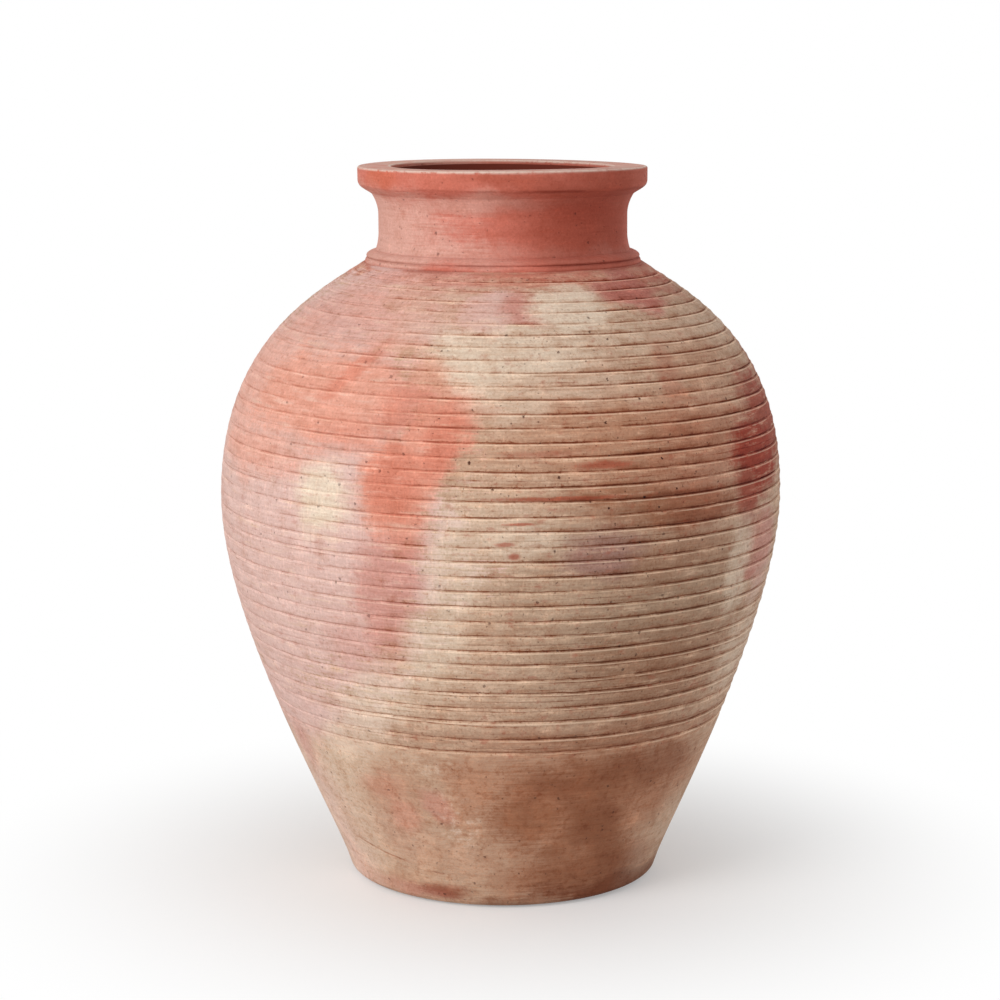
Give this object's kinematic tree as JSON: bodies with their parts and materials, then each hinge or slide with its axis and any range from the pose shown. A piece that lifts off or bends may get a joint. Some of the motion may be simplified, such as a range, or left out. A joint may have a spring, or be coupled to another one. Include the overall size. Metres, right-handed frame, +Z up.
{
  "type": "pithos",
  "caption": "Wide-bellied terracotta storage jar with a scored spiral wall, a short waisted neck, a heavy flat rim and a flat foot, for keeping dry goods or liquids.",
  "frame": {"origin": "centre of the flat underside, on the surface that the jar stands on", "axes": "+Z up along the jar's axis; -Y is the side that the picture shows, with +X to its right"},
  "size_m": [0.4714, 0.4714, 0.6],
  "materials": {
    "wall_terracotta": "matt bisque terracotta, scored on the wheel, with a pale lime bloom, red iron flushes and small pits",
    "neck_terracotta": "matt salmon-red bisque terracotta, wiped smooth, slightly dusty on the flat top",
    "foot_terracotta": "matt beige-brown bisque terracotta with wheel striations"
  },
  "bodies": {
    "root": {"floor_slab": "foot_terracotta", "base_seam_coil": "foot_terracotta", "foot_drum": "wall_terracotta", "lower_belly_drum": "wall_terracotta", "middle_belly_drum": "wall_terracotta", "upper_belly_drum": "wall_terracotta", "shoulder_drum": "wall_terracotta", "neck_band": "neck_terracotta", "neck_collar": "neck_terracotta", "rim_ring": "neck_terracotta"}
  },
  "joints": []
}
